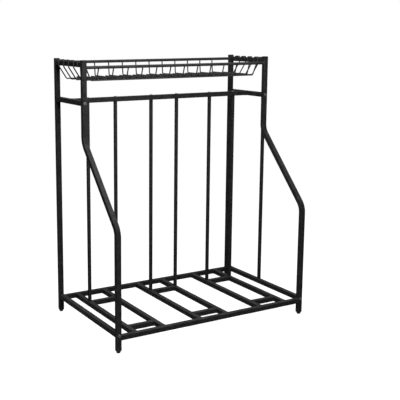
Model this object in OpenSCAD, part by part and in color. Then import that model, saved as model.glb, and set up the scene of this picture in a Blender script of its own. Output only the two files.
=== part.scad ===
// Floor-standing bike rack with three wheel slots and a wire basket on top
// Origin: middle of the footprint, on the floor. X to the right, Y to the rear, Z up

/* [Overall] */
// Width over the outer faces of the posts
rack_w = 860; // [820:10:900]
// Depth over the front and rear legs
rack_d = 530; // [480:10:600]
// Height to the top of the post caps
rack_h = 1046; // [1030:2:1080]
// Depth of the upper frame over its posts
upper_d = 264; // [240:2:290]

/* [Tubes and bars] */
// Side of the square frame tube
tube = 19; // [17:0.5:22]
// Wall of the frame tube
tube_wall = 1.2; // [0.9:0.1:2]
// Outer corner radius of the frame tube
tube_corner = 2; // [1:0.25:3]
// Side of the square tube of the wheel bars and the stay
bar = 12; // [11:0.5:15]
// Wall of the wheel bars and the stay
bar_wall = 1; // [0.8:0.1:1.6]
// Outer corner radius of the wheel bars and the stay
bar_corner = 1.5; // [0.5:0.25:2]

/* [Front posts] */
// Height where the front posts turn forward
upper_bend_z = 738; // [700:2:780]
// Height where the front posts turn straight down again
lower_bend_z = 453; // [400:2:500]
// Centre line radius of both bends
bend_r = 65; // [45:1:80]

/* [Frame heights] */
// Centre height of the base side rails
side_rail_z = 67; // [60:1:90]
// Centre height of the front and rear rails and the wheel rails
floor_rail_z = 58; // [45:1:75]
// From the top of the post caps down to the centre of the side bars and the crossbar
side_bar_drop = 161; // [136:1:206]
// From the top of the post caps down to the centre of the top side tubes
top_tube_drop = 17.5; // [15:0.5:22]

/* [Wheel slots] */
// Distance between the middles of neighbouring slots
slot_pitch = 286; // [270:2:290]
// Distance between the centre lines of a slot's two rails
slot_w = 122; // [100:1:130]
// From the front rail back to the centre of the front spreaders
front_spreader_in = 70; // [50:1:130]
// Cut of the stay's top below the start of the post's bend
stay_top_cut = 18; // [14:1:22]

/* [Basket rods] */
// Diameter of the basket's front and rear rods
rod = 12; // [10:0.5:14]
// From the top of the post caps down to the centre of the front rod
front_rod_drop = 28; // [24:0.5:32]
// From the top of the post caps down to the centre of the rear rod
rear_rod_drop = 17; // [14:0.5:22]

/* [Basket wires] */
// Diameter of the basket wires
wire = 5; // [4:0.25:5.5]
// Bend radius of the wires at the basket floor
floor_bend_r = 7; // [4:0.5:10]
// From the top of the post caps down to the cross wires of the floor
floor_drop = 73; // [68:1:86]
// Inward lean of the front wall
front_lean = 13; // [6:0.5:20]
// Inward lean of the rear wall
rear_lean = 5; // [3:0.5:12]
// Inward lean of the end walls
end_lean = 32; // [25:0.5:38]
// Inward lean of the foremost long wire at the ends
front_end_lean = 30.5; // [24:0.5:36]
// Number of wires in the front wall; the rear wall has one fewer, set between them
cross_count = 12; // [8:1:13]
// From the middle of the left posts to the first wire of the front wall
cross_left_in = 66; // [62:0.5:80]
// From the middle of the right posts to the last wire of the front wall
cross_right_in = 76; // [62:0.5:80]
// From the foot of the rear wall forward to the rearmost long wire
long_rear_in = 35; // [12:0.5:40]
// From the foot of the front wall back to the foremost long wire
long_front_in = 6; // [5.5:0.5:20]
// From the foremost long wire back to the next one
long_next_in = 33; // [20:0.5:44]
// Number of long wires
long_count = 5; // [3:1:6]
// Length of a wire end that lies against a rod
wire_end = 10; // [8:0.5:14]
// Length that a cross wire runs on past its last long wire
wire_tail = 4; // [3:0.5:6]
// Gap between the hooks and the top side tubes
hook_gap = 0.3; // [0.2:0.05:0.6]
// Gap left between crossing wires at a weld
weld_gap = 0.1; // [0.05:0.01:0.2]

/* [Feet and caps] */
// Height of a foot below the tube
foot_h = 11; // [9:0.5:16]
// Radius of the flat that a foot stands on
foot_r = 5.6; // [4:0.1:7]
// Height of the rounded edge at the foot's tip
foot_edge = 1.1; // [0.6:0.1:2]
// Thickness of a post cap
cap_t = 2; // [1.5:0.1:4]
// Length of the stem of a foot or cap inside its tube
stem_l = 14; // [10:1:24]
// Clearance around the stem
stem_gap = 0.2; // [0.1:0.05:0.4]

/* [Bolts] */
// Diameter of the bolt shanks
bolt_d = 6; // [5:0.5:6.5]
// Clearance around a shank
bolt_gap = 0.25; // [0.15:0.05:0.4]
// Diameter of the bolt heads
head_d = 13; // [10:0.5:14]
// Height of the bolt heads
head_h = 2.6; // [2:0.1:4]
// Width across flats of the hex sockets
socket_w = 4; // [3:0.5:5]
// Length of the threaded plugs in the tube ends
plug_l = 16; // [12:1:24]

/* [Hidden] */
SIDES = [["left", -1], ["right", 1]];
SLOTS = [1, 2, 3];
LINES = [1, 2, 3, 4, 5, 6];
CORNERS = [["front_left", -1, -1], ["front_right", 1, -1], ["rear_left", -1, 1], ["rear_right", 1, 1]];
$fn = 48;
BEND_STEP = 5;
CORNER_STEPS = 3;
WIRE_STEP = 22.5;
WIRE_SIDES = 10;

half = tube / 2;
post_x = rack_w / 2 - half;
leg_y = rack_d / 2 - half;
upper_y = leg_y - (upper_d - tube);
bar_y = (upper_y + leg_y) / 2;
post_top = rack_h - cap_t;
top_tube_z = rack_h - top_tube_drop;
side_bar_z = rack_h - side_bar_drop;
post_face_x = post_x - half;
front_spreader_y = front_spreader_in - leg_y;

bolt_l = tube + plug_l * 0.8;
thread_d = bolt_d + 2 * bolt_gap;

front_rod_z = rack_h - front_rod_drop;
rear_rod_z = rack_h - rear_rod_drop;
floor_z = rack_h - floor_drop;
long_z = floor_z - wire - weld_gap;
rod_seat = (rod + wire) / 2 + weld_gap;
hook_seat = half + hook_gap + wire / 2;
hook_r = tube_corner + hook_gap + wire / 2;
hook_tip_z = top_tube_z - half + wire / 2;
front_foot_y = upper_y + rod_seat + front_lean;
rear_foot_y = leg_y - rod_seat - rear_lean;
front_long_y = front_foot_y + long_front_in;
next_long_y = front_long_y + long_next_in;
rear_long_y = rear_foot_y - long_rear_in;
cross_first_x = cross_left_in - post_x;
cross_pitch = (2 * post_x - cross_left_in - cross_right_in) / (cross_count - 1);

FRAME_COLOUR = "#1b1b1d";
WIRE_COLOUR = "#222224";
PLASTIC_COLOUR = "#121213";
BOLT_COLOUR = "#2a2a2c";

// Centre line of one of the six rails and bars, counted from the left
function line_x(i) = (floor((i - 1) / 2) - 1) * slot_pitch + (i % 2 == 1 ? -0.5 : 0.5) * slot_w;

// Direction of the run that starts at point i, in degrees
function heading(points, i) = atan2(points[i + 1].y - points[i].y, points[i + 1].x - points[i].x);

// Turn at point i, from -180 to 180 degrees, positive to the left
function turn(points, i) =
    let (change = heading(points, i) - heading(points, i - 1))
    change > 180 ? change - 360 : change < -180 ? change + 360 : change;

// Length that a bend of radius r takes from each run that meets it
function setback(points, i, r) = i == 0 || i == len(points) - 1 ? 0 : r * tan(abs(turn(points, i)) / 2);

// Places and headings along a bent centre line: both ends, and each bend in steps of at most so many degrees
function stations(points, radii, step) =
    let (last = len(points) - 1)
    concat(
        [[points[0], heading(points, 0)]],
        [
            for (i = [1:last - 1])
                let (steps = ceil(abs(turn(points, i)) / step))
                for (k = [0:steps]) bend_station(points, i, radii[i], k / steps)
        ],
        [[points[last], heading(points, last - 1)]]
    );

// Place and heading at a share of the bend at point i
function bend_station(points, i, r, share) =
    let (way = heading(points, i - 1), angle = turn(points, i), side = sign(angle))
    let (start = points[i] - setback(points, i, r) * [cos(way), sin(way)])
    let (centre = start + side * r * [-sin(way), cos(way)], now = way + share * angle)
    [centre + side * r * [sin(now), -cos(now)], now];

// Outline of a square with round corners, counter-clockwise
function rounded_outline(side, r) = [
    for (corner = [0:3], k = [0:CORNER_STEPS])
        let (angle = 90 * (corner + k / CORNER_STEPS), middle = 90 * corner + 45)
        (side / 2 - r) * sqrt(2) * [cos(middle), sin(middle)] + r * [cos(angle), sin(angle)]
];

// Square with round corners, centred
module rounded_square(side, r) {
    square([side, side - 2 * r], center = true);
    square([side - 2 * r, side], center = true);
    for (x = [-1, 1], y = [-1, 1])
        translate([x, y] * (side / 2 - r)) circle(r);
}

// Hollow square section
module square_section(side, wall, corner) {
    difference() {
        rounded_square(side, corner);
        rounded_square(side - 2 * wall, max(corner - wall, 0.2));
    }
}

module tube_section() {
    square_section(tube, tube_wall, tube_corner);
}

module bar_section() {
    square_section(bar, bar_wall, bar_corner);
}

// Stands the section that follows on the XY plane and runs it along +X
module along_x(length) {
    rotate([90, 0, 90]) linear_extrude(length) children();
}

// Bent frame tube in the XY plane: rings of the hollow section along the centre line
module bent_tube(points, radii) {
    stops = stations(points, radii, BEND_STEP);
    outer = rounded_outline(tube, tube_corner);
    inner = rounded_outline(tube - 2 * tube_wall, max(tube_corner - tube_wall, 0.2));
    n = len(outer);
    last = len(stops) - 1;
    depth = (last + 1) * n;
    corners = [
        for (outline = [outer, inner], s = stops, p = outline)
            [s[0].x - p.x * sin(s[1]), s[0].y + p.x * cos(s[1]), p.y]
    ];
    walls = [
        for (j = [0:last - 1], i = [0:n - 1])
            let (a = j * n + i, b = j * n + (i + 1) % n)
            each [[a, a + n, b + n, b], [depth + b, depth + b + n, depth + a + n, depth + a]]
    ];
    ends = [
        for (i = [0:n - 1])
            let (a = i, b = (i + 1) % n, top = last * n)
            each [[a, b, depth + b, depth + a], [top + b, top + a, depth + top + a, depth + top + b]]
    ];
    polyhedron(corners, concat(walls, ends));
}

// Bent wire in the XY plane: rings along the centre line, with a bend radius for each of its points
module bent_wire(points, radii) {
    stops = stations(points, radii, WIRE_STEP);
    n = WIRE_SIDES;
    last = len(stops) - 1;
    corners = [
        for (s = stops, i = [0:n - 1])
            let (out = wire / 2 * cos(360 * i / n), up = wire / 2 * sin(360 * i / n))
            [s[0].x - out * sin(s[1]), s[0].y + out * cos(s[1]), up]
    ];
    walls = [
        for (j = [0:last - 1], i = [0:n - 1])
            let (a = j * n + i, b = j * n + (i + 1) % n) [a, a + n, b + n, b]
    ];
    ends = [[for (i = [0:n - 1]) i], [for (i = [n - 1:-1:0]) last * n + i]];
    polyhedron(corners, concat(walls, ends));
}

// Turns a piece drawn in the XY plane into the YZ plane of the rack
module in_side_plane() {
    rotate([90, 0, 90]) children();
}

// Turns a piece drawn in the XY plane into the XZ plane of the rack
module in_front_plane() {
    rotate([90, 0, 0]) children();
}

// Upright tube from z1 to z2
module upright(z1, z2) {
    translate([0, 0, z1]) linear_extrude(z2 - z1) children();
}

// Hole along Y through a post
module post_hole(z) {
    translate([0, 0, z]) rotate([90, 0, 0]) cylinder(d = thread_d, h = tube + 2, center = true);
}

// Straight frame tube along +X from the origin
module frame_tube(length) {
    along_x(length) tube_section();
}

// Frame tube along +X with a threaded plug in each end
module plugged_tube(length) {
    frame_tube(length);
    for (x = [0, length - plug_l])
        translate([x, 0, 0]) along_x(plug_l) difference() {
            square(tube - 2 * tube_wall, center = true);
            circle(d = thread_d);
        }
}

// Button-head bolt along -Z, with the seat of its head on the XY plane
module bolt() {
    edge = head_h * 0.55;
    difference() {
        union() {
            rotate_extrude() polygon([
                [0, 0], [head_d / 2, 0], [head_d / 2, head_h - edge],
                [head_d / 2 - edge, head_h], [0, head_h]
            ]);
            translate([0, 0, -bolt_l]) cylinder(d = bolt_d, h = bolt_l);
        }
        translate([0, 0, head_h * 0.35]) cylinder(d = socket_w / cos(30), h = head_h, $fn = 6);
    }
}

// Straight rear post
module rear_post(side) {
    color(FRAME_COLOUR) translate([side * post_x, leg_y, 0]) difference() {
        upright(foot_h, post_top) tube_section();
        post_hole(side_rail_z);
        post_hole(side_bar_z);
    }
}

// Centre line of a front post, from its foot to its cap
function front_post_line() = [
    [-leg_y, foot_h], [-leg_y, lower_bend_z], [upper_y, upper_bend_z], [upper_y, post_top]
];

// Front post: straight leg, slope and straight top
module front_post(side) {
    color(FRAME_COLOUR) translate([side * post_x, 0, 0]) difference() {
        in_side_plane() bent_tube(front_post_line(), [0, bend_r, bend_r, 0]);
        translate([0, -leg_y, 0]) post_hole(side_rail_z);
        translate([0, upper_y, 0]) post_hole(side_bar_z);
    }
}

// Tube that joins the post tops of one side and carries the basket
module top_side_tube(side) {
    color(FRAME_COLOUR) translate([side * post_x, upper_y + half, top_tube_z])
        rotate([0, 0, 90]) frame_tube(upper_d - 2 * tube);
}

// Bar between the posts of one side, at the height of the crossbar
module side_bar(side) {
    color(FRAME_COLOUR) translate([side * post_x, upper_y + half, side_bar_z])
        rotate([0, 0, 90]) plugged_tube(upper_d - 2 * tube);
}

// Rail between the front and rear legs of one side
module base_side_rail(side) {
    color(FRAME_COLOUR) translate([side * post_x, half - leg_y, side_rail_z])
        rotate([0, 0, 90]) plugged_tube(rack_d - 2 * tube);
}

// Crossbar between the side bars, drilled above each wheel bar
module crossbar() {
    color(FRAME_COLOUR) translate([0, bar_y, side_bar_z]) difference() {
        translate([-post_face_x, 0, 0]) frame_tube(2 * post_face_x);
        for (i = LINES)
            translate([line_x(i), 0, 0]) cylinder(d = thread_d, h = tube + 2, center = true);
    }
}

// Rail between the two legs of the front or the rear
module base_cross_rail(y) {
    color(FRAME_COLOUR) translate([-post_face_x, y, floor_rail_z]) frame_tube(2 * post_face_x);
}

// Rail beside a wheel, from the front rail to the rear rail
module wheel_rail(i) {
    color(FRAME_COLOUR) translate([line_x(i), half - leg_y, floor_rail_z])
        rotate([0, 0, 90]) frame_tube(rack_d - 2 * tube);
}

// Upright bar that holds a wheel, with a threaded plug in its top
module wheel_bar(i) {
    top = side_bar_z - half;
    color(FRAME_COLOUR) translate([line_x(i), bar_y, 0]) {
        upright(floor_rail_z + half, top) bar_section();
        upright(top - plug_l, top) difference() {
            square(bar - 2 * bar_wall, center = true);
            circle(d = thread_d);
        }
    }
}

// Short tube between the two rails of a slot
module spreader(slot, y) {
    color(FRAME_COLOUR) translate([line_x(2 * slot - 1) + half, y, floor_rail_z])
        frame_tube(slot_w - tube);
}

// Stay under the bend of the right front post, its rear face in line with the post's
module right_stay() {
    bend_start = upper_bend_z + setback(front_post_line(), 2, bend_r);
    color(FRAME_COLOUR) translate([post_x, upper_y, 0]) difference() {
        translate([0, (tube - bar) / 2, 0])
            upright(side_rail_z + half, bend_start - stay_top_cut) bar_section();
        translate([0, -bend_r, bend_start]) rotate([0, 90, 0])
            rotate_extrude() translate([bend_r, 0]) square(tube, center = true);
    }
}

// Plastic foot: square at the top, coned to a round flat, with a stem in the tube
module foot(side, end) {
    corner = half * sqrt(2);
    color(PLASTIC_COLOUR) translate([side * post_x, end * leg_y, 0]) {
        intersection() {
            linear_extrude(foot_h) rounded_square(tube, tube_corner);
            rotate_extrude() polygon([
                [0, 0], [foot_r, 0], [foot_r + foot_edge, foot_edge],
                [corner, foot_h - 0.5], [corner, foot_h], [0, foot_h]
            ]);
        }
        upright(foot_h, foot_h + stem_l) stem_section();
    }
}

// Flat plastic cap on a post top, with a stem in the tube
module cap(side, end) {
    y = end > 0 ? leg_y : upper_y;
    color(PLASTIC_COLOUR) translate([side * post_x, y, 0]) {
        upright(post_top, rack_h) rounded_square(tube, tube_corner);
        upright(post_top - stem_l, post_top) stem_section();
    }
}

// Section of the stem of a foot or cap
module stem_section() {
    square(tube - 2 * (tube_wall + stem_gap), center = true);
}

// Bolts that hold the wheel bars under the crossbar
module crossbar_bolts() {
    color(BOLT_COLOUR) for (i = LINES)
        translate([line_x(i), bar_y, side_bar_z + half]) bolt();
}

// Bolt through a front post and one through the rear post of each side, at one height
module side_bolts(front_y, z) {
    color(BOLT_COLOUR) for (side = [-1, 1]) {
        translate([side * post_x, front_y - half, z]) rotate([90, 0, 0]) bolt();
        translate([side * post_x, leg_y + half, z]) rotate([-90, 0, 0]) bolt();
    }
}

// Round rod of the basket's rim, from post to post
module basket_rod(y, z) {
    color(WIRE_COLOUR) translate([0, y, z])
        rotate([0, 90, 0]) cylinder(d = rod, h = 2 * post_face_x, center = true);
}

// Centre line of a cross wire: down from a rod to the wall's foot, then along the floor to its tail
function cross_wire_line(wall_y, rod_z, foot_y, tail_y) =
    let (top = rod_z + wire_end * 0.4)
    [[wall_y, top], [wall_y, top - wire_end], [foot_y, floor_z], [tail_y, floor_z]];

// Evenly spaced cross wires along one wall, from the leftmost
module cross_wires(first, count, line) {
    color(WIRE_COLOUR) for (k = [0:count - 1])
        translate([first + k * cross_pitch, 0, 0]) in_side_plane()
            bent_wire(line, [0, wire, floor_bend_r, 0]);
}

// Wires from the front rod down the front wall and back along the floor
module basket_front_wires() {
    cross_wires(
        cross_first_x, cross_count,
        cross_wire_line(upper_y + rod_seat, front_rod_z, front_foot_y, rear_long_y + wire_tail)
    );
}

// Wires from the rear rod down the rear wall and forward along the floor, between the front wires
module basket_rear_wires() {
    cross_wires(
        cross_first_x + cross_pitch / 2, cross_count - 1,
        cross_wire_line(leg_y - rod_seat, rear_rod_z, rear_foot_y, front_long_y - wire_tail)
    );
}

// Centre line of a long wire. Each end comes up under a top side tube, goes round it from the outside
// and points down on its inner side
function long_wire_line() =
    let (outer = post_x + hook_seat, inner = post_x - hook_seat, foot = outer - end_lean)
    let (over = top_tube_z + hook_seat, under = top_tube_z - hook_seat)
    [
        [-inner, hook_tip_z], [-inner, over], [-outer, over], [-outer, under], [-foot, long_z],
        [foot, long_z], [outer, under], [outer, over], [inner, over], [inner, hook_tip_z]
    ];

// Centre line of the foremost long wire. Each end goes over a top side tube from the inside and points
// down on its outer side
function front_long_wire_line() =
    let (outer = post_x + hook_seat, inner = post_x - hook_seat, foot = inner - front_end_lean)
    let (over = top_tube_z + hook_seat)
    [
        [-outer, hook_tip_z], [-outer, over], [-inner, over], [-foot, long_z],
        [foot, long_z], [inner, over], [outer, over], [outer, hook_tip_z]
    ];

// Wires from side tube to side tube, under the cross wires
module basket_long_wires() {
    h = hook_r;
    f = floor_bend_r;
    pitch = (rear_long_y - next_long_y) / (long_count - 2);
    color(WIRE_COLOUR) {
        translate([0, front_long_y, 0]) in_front_plane()
            bent_wire(front_long_wire_line(), [0, h, h, f, f, h, h, 0]);
        for (k = [0:long_count - 2])
            translate([0, next_long_y + k * pitch, 0]) in_front_plane()
                bent_wire(long_wire_line(), [0, h, h, h, f, f, h, h, h, 0]);
    }
}

for (s = SIDES) {
    rear_post(s[1]);
    front_post(s[1]);
    top_side_tube(s[1]);
    side_bar(s[1]);
    base_side_rail(s[1]);
}
crossbar();
base_cross_rail(-leg_y);  // base_front_rail
base_cross_rail(leg_y);  // base_rear_rail
for (i = LINES) {
    wheel_rail(i);
    wheel_bar(i);
}
for (s = SLOTS) {
    spreader(s, front_spreader_y);
    spreader(s, bar_y);
}
right_stay();
for (c = CORNERS) {
    foot(c[1], c[2]);
    cap(c[1], c[2]);
}
crossbar_bolts();
side_bolts(upper_y, side_bar_z);  // side_bar_bolts
side_bolts(-leg_y, side_rail_z);  // base_bolts
basket_rod(upper_y, front_rod_z);  // basket_front_rod
basket_rod(leg_y, rear_rod_z);  // basket_rear_rod
basket_front_wires();
basket_rear_wires();
basket_long_wires();
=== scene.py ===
"""Looks of the bike rack: coated steel tubes, wire basket, plastic feet and caps, bolts and welds."""
import logging
import math
from dataclasses import dataclass, field
from enum import Enum

import bpy
import numpy as np
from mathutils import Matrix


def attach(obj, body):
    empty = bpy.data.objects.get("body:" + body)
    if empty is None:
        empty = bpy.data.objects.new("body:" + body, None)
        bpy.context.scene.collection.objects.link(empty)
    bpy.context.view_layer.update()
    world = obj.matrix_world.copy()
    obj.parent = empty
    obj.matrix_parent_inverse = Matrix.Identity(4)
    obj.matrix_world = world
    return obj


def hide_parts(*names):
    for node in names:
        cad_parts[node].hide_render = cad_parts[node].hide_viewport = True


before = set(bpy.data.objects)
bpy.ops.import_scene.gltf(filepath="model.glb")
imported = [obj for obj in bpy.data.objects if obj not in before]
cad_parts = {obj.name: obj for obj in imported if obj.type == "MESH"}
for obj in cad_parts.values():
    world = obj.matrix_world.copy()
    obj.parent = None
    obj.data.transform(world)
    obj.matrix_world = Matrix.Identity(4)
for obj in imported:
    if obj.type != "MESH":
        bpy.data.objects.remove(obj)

Point = tuple[float, float, float]
Colour = tuple[float, float, float]

LOG = logging.getLogger("bike_rack")
ROOT = "root"
# Signs of the left and the right side, and of the front and the rear
SIDES = (-1.0, 1.0)
# The three wheel slots from left to right, in slot pitches from the middle
SLOTS = (-1, 0, 1)
UP = np.array([0.0, 0.0, 1.0])
ALONG_X = np.array([1.0, 0.0, 0.0])
ALONG_Y = np.array([0.0, 1.0, 0.0])
# Turn between two faces from which their shared edge is shaded sharp
SHARP_TURN = math.radians(40)
# Largest radius of a weld bead, in metres, and the points round it
BEAD_R = 0.0011
BEAD_COLUMNS = 8
# Range that holds most values of a noise
NOISE_RANGE = (0.3, 0.7)


@dataclass(frozen=True)
class Sizes:
    """Sizes of the rack in metres, the same as in the part's source.

    Attributes:
        post_x: Middle of the right posts along X.
        leg_y: Middle of the rear posts along Y; the front legs stand as far to the front.
        upper_y: Middle of the front posts above their bends along Y.
        bar_y: Middle of the crossbar, the wheel bars and the rear spreaders along Y.
        height: Top of the post caps.
        tube: Side of the frame tube.
        tube_corner: Corner radius of the frame tube.
        bar: Side of the thin tube of the wheel bars and the stay.
        bar_corner: Corner radius of the thin tube.
        side_rail_z: Centre height of the base side rails.
        floor_rail_z: Centre height of the front, rear and wheel rails.
        side_bar_z: Centre height of the side bars and the crossbar.
        top_tube_z: Centre height of the top side tubes.
        slot_pitch: Distance between the middles of neighbouring slots.
        slot_w: Distance between the centre lines of a slot's two rails.
        front_spreader_y: Middle of the front spreaders along Y.
        rod: Diameter of the basket's front and rear rods.
        front_rod_z: Centre height of the front rod.
        rear_rod_z: Centre height of the rear rod.
        foot_h: Height of a foot below the end of its leg.
        cap_t: Height of a cap above the end of its post.
    """

    post_x: float = 0.4205
    leg_y: float = 0.2555
    upper_y: float = 0.0105
    bar_y: float = 0.133
    height: float = 1.046
    tube: float = 0.019
    tube_corner: float = 0.002
    bar: float = 0.012
    bar_corner: float = 0.0015
    side_rail_z: float = 0.067
    floor_rail_z: float = 0.058
    side_bar_z: float = 0.885
    top_tube_z: float = 1.0285
    slot_pitch: float = 0.286
    slot_w: float = 0.122
    front_spreader_y: float = -0.1855
    rod: float = 0.012
    front_rod_z: float = 1.018
    rear_rod_z: float = 1.029
    foot_h: float = 0.011
    cap_t: float = 0.002

    @property
    def half(self) -> float:
        """Half the side of the frame tube."""
        return self.tube / 2

    @property
    def lines(self) -> list[float]:
        """Places along X of the six wheel rails and bars."""
        return [slot * self.slot_pitch + side * self.slot_w / 2 for slot in SLOTS for side in SIDES]


SIZES = Sizes()


class Slot(Enum):
    """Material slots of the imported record."""

    FRAME = "frame_coat"
    BASKET = "basket_coat"
    BOLT = "bolt_black"
    PLASTIC = "black_plastic"


class Run(Enum):
    """Direction that a tube runs in, which tells where its rounded corners are."""

    ACROSS = "along_x"
    OTHER = "other"


# Meshes


@dataclass
class Shells:
    """Closed shells gathered into one mesh.

    Attributes:
        points: Vertex arrays, one per shell.
        quads: Arrays of four indices, one per shell.
        fans: Arrays of three indices, one per shell.
        total: Number of vertices gathered so far.
    """

    points: list[np.ndarray] = field(default_factory=list)
    quads: list[np.ndarray] = field(default_factory=list)
    fans: list[np.ndarray] = field(default_factory=list)
    total: int = 0

    def add_grid(self, grid: np.ndarray, loop: bool = False) -> None:
        """Adds a grid of rings as a closed shell.

        Quad (j, i) joins the points (j, i), (j, i + 1), (j + 1, i + 1) and (j + 1, i), and i runs on from the
        last column to the first. The first and last ring are closed by a fan round their mean point, or
        the last ring joins the first.

        Args:
            grid: Points as rows by columns by 3. The columns run counter-clockwise as seen from the last row.
            loop: Whether the last ring joins the first.
        """
        rows, cols = grid.shape[:2]
        column = np.arange(cols)
        after = (column + 1) % cols
        here = np.arange(rows if loop else rows - 1)[:, None] * cols
        there = (here + cols) % (rows * cols)
        quads = np.stack([here + column, here + after, there + after, there + column], axis=-1)
        points = grid.reshape(-1, 3)
        if loop:
            fans = np.zeros((0, 3), int)
        else:
            last = (rows - 1) * cols
            first_pole, last_pole = rows * cols, rows * cols + 1
            points = np.vstack([points, grid[0].mean(0), grid[-1].mean(0)])
            fans = np.vstack([
                np.stack([np.full(cols, first_pole), after, column], axis=-1),
                np.stack([np.full(cols, last_pole), last + column, last + after], axis=-1),
            ])
        self.points.append(points)
        self.quads.append(quads.reshape(-1, 4) + self.total)
        self.fans.append(fans + self.total)
        self.total += len(points)

    def build(self, name: str, material: bpy.types.Material, slot: Slot, *nodes: str) -> bpy.types.Object:
        """Makes the object, dresses it and lets it ride on the frame.

        Args:
            name: Name of the piece.
            material: Finish of the piece.
            slot: Record slot of that finish; not used.
            *nodes: CAD nodes that the piece stands for.

        Returns:
            The new object.
        """
        mesh = bpy.data.meshes.new(name)
        faces = np.vstack(self.quads).tolist() + np.vstack(self.fans).tolist()
        mesh.from_pydata(np.vstack(self.points).tolist(), [], faces)
        mesh.shade_smooth()
        mesh.set_sharp_from_angle(angle=SHARP_TURN)
        mesh.materials.append(material)
        piece = bpy.data.objects.new(name, mesh)
        bpy.context.scene.collection.objects.link(piece)
        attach(piece, ROOT)
        if nodes:
            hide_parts(*nodes)
        LOG.info("%s: %d points, %d faces", name, len(mesh.vertices), len(mesh.polygons))
        return piece


def ring(columns: int) -> np.ndarray:
    """Evenly spaced angles round a ring, in radians.

    Args:
        columns: Number of angles.

    Returns:
        The angles.
    """
    return np.arange(columns) * (2 * np.pi / columns)


def bent_line(points: np.ndarray, radii: list[float], step: float = math.radians(6)) -> np.ndarray:
    """Centre line through points in a plane, with each corner rounded by an arc.

    The arc at a corner starts r * tan(turn / 2) before it, and its centre lies at the distance r to the side
    of the turn.

    Args:
        points: Corners as n by 2.
        radii: Bend radius at each point; the first and last aren't used.
        step: Largest turn between two stations.

    Returns:
        Stations as m by 2.
    """
    stations = [points[:1]]
    for i in range(1, len(points) - 1):
        arriving, leaving = points[i] - points[i - 1], points[i + 1] - points[i]
        way = math.atan2(arriving[1], arriving[0])
        angle = (math.atan2(leaving[1], leaving[0]) - way + math.pi) % (2 * math.pi) - math.pi
        side, r = math.copysign(1.0, angle), radii[i]
        start = points[i] - r * math.tan(abs(angle) / 2) * np.array([math.cos(way), math.sin(way)])
        centre = start + side * r * np.array([-math.sin(way), math.cos(way)])
        now = way + np.linspace(0, angle, max(2, math.ceil(abs(angle) / step) + 1))
        stations.append(centre + side * r * np.stack([np.sin(now), -np.cos(now)], axis=-1))
    stations.append(points[-1:])
    return np.vstack(stations)


def spaced_line(line: np.ndarray, gap: float) -> np.ndarray:
    """Adds even stations to the long runs of a line.

    Args:
        line: Stations as m by 2 or m by 3.
        gap: Largest distance between stations.

    Returns:
        The denser line.
    """
    parts = []
    for start, end in zip(line[:-1], line[1:]):
        steps = math.ceil(np.linalg.norm(end - start) / gap)
        parts.append(np.linspace(start, end, max(2, steps + 1))[:-1])
    return np.vstack([*parts, line[-1:]])


def sweep(path: np.ndarray, binormal: np.ndarray, radius: np.ndarray, columns: int,
          loop: bool = False) -> np.ndarray:
    """Rings of a round section carried along a plane path.

    Point (j, i) is path(j) + radius(j) * (cos(a) * n + sin(a) * b), where t is the direction of the path at
    j, b the fixed binormal, n = b x t, and a the angle of column i.

    Args:
        path: Stations as m by 3.
        binormal: Unit vector across the plane of the path.
        radius: Radius at each station.
        columns: Points round the section.
        loop: Whether the path closes on itself.

    Returns:
        Grid as m by columns by 3.
    """
    if loop:
        tangent = np.roll(path, -1, axis=0) - np.roll(path, 1, axis=0)
    else:
        tangent = np.gradient(path, axis=0)
    tangent /= np.linalg.norm(tangent, axis=1, keepdims=True)
    normal = np.cross(binormal, tangent)
    angle = ring(columns)[None, :, None]
    section = np.cos(angle) * normal[:, None, :] + np.sin(angle) * binormal
    return path[:, None, :] + radius[:, None, None] * section


def cut_wire(path: np.ndarray, binormal: np.ndarray, radius: float, columns: int) -> np.ndarray:
    """Rings of a wire whose cut ends have a small rounded edge.

    The first rings at each end have 0.72, 0.88, 0.965 and 1 times the radius, and lie 0, 0.03, 0.11 and 0.25
    radii from the cut.

    Args:
        path: Stations as m by 3.
        binormal: Unit vector across the plane of the path.
        radius: Radius of the wire.
        columns: Points round the section.

    Returns:
        Grid of rings.
    """
    depth = radius * np.array([0.0, 0.03, 0.11, 0.25])
    shrink = np.array([0.72, 0.88, 0.965, 1.0])
    first = (path[1] - path[0]) / np.linalg.norm(path[1] - path[0])
    final = (path[-1] - path[-2]) / np.linalg.norm(path[-1] - path[-2])
    stations = np.vstack([path[0] + depth[:, None] * first, path[1:-1], path[-1] - depth[::-1, None] * final])
    scale = np.concatenate([shrink, np.ones(len(path) - 2), shrink[::-1]])
    return sweep(stations, binormal, radius * scale, columns)


def rounded_square_line(half: float, corner: float, per_side: int = 22, per_corner: int = 5) -> np.ndarray:
    """Outline of a square with round corners, counter-clockwise.

    Args:
        half: Half the side.
        corner: Corner radius.
        per_side: Steps on a straight side.
        per_corner: Steps on a corner.

    Returns:
        Points as m by 2.
    """
    parts = []
    for quarter in range(4):
        turn = quarter * math.pi / 2
        spin = np.array([[math.cos(turn), math.sin(turn)], [-math.sin(turn), math.cos(turn)]])
        side = np.linspace(-(half - corner), half - corner, per_side, endpoint=False)
        arc = np.linspace(0, math.pi / 2, per_corner, endpoint=False)
        straight = np.stack([np.full(per_side, half), side], axis=-1)
        bend = (half - corner) + corner * np.stack([np.cos(arc), np.sin(arc)], axis=-1)
        parts.append(np.vstack([straight, bend]) @ spin)
    return np.vstack(parts)


def plane_axes(axis: np.ndarray) -> tuple[np.ndarray, np.ndarray]:
    """Two unit vectors that make a right-handed set with an axis.

    Args:
        axis: Unit vector.

    Returns:
        The first and second vector across the axis.
    """
    helper = ALONG_X if abs(axis[0]) < 0.5 else ALONG_Y
    first = np.cross(helper, axis)
    first /= np.linalg.norm(first)
    return first, np.cross(axis, first)


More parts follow.
